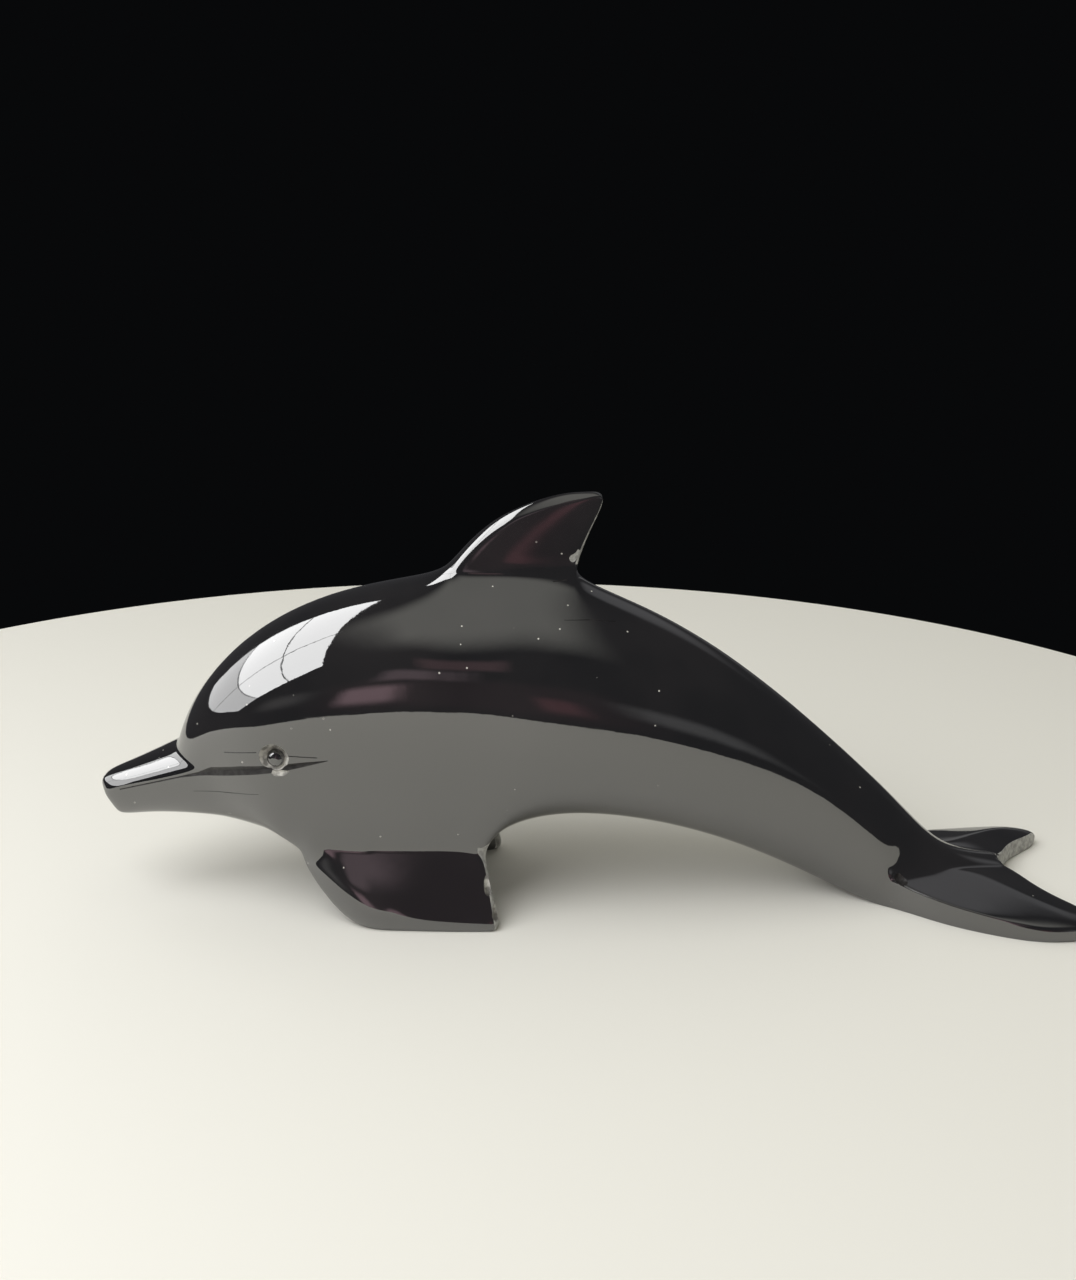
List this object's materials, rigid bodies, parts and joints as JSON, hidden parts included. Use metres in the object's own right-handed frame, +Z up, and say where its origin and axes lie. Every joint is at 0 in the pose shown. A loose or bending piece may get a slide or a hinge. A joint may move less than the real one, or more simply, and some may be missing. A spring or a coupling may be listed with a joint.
{
  "type": "carved stone dolphin",
  "caption": "Small polished black onyx carving of a leaping dolphin that stands on its pectoral fins and the flat underside of its flukes.",
  "frame": {"origin": "on the table, under the middle of the carving's footprint box", "axes": "+X from the snout towards the flukes, +Y towards the animal's right-hand side away from the viewer of the picture, +Z up"},
  "size_m": [0.1226, 0.0286, 0.0516],
  "materials": {
    "onyx": "polished to a mirror gloss, solid black"
  },
  "bodies": {
    "root": {"dolphin": "onyx"}
  },
  "joints": []
}
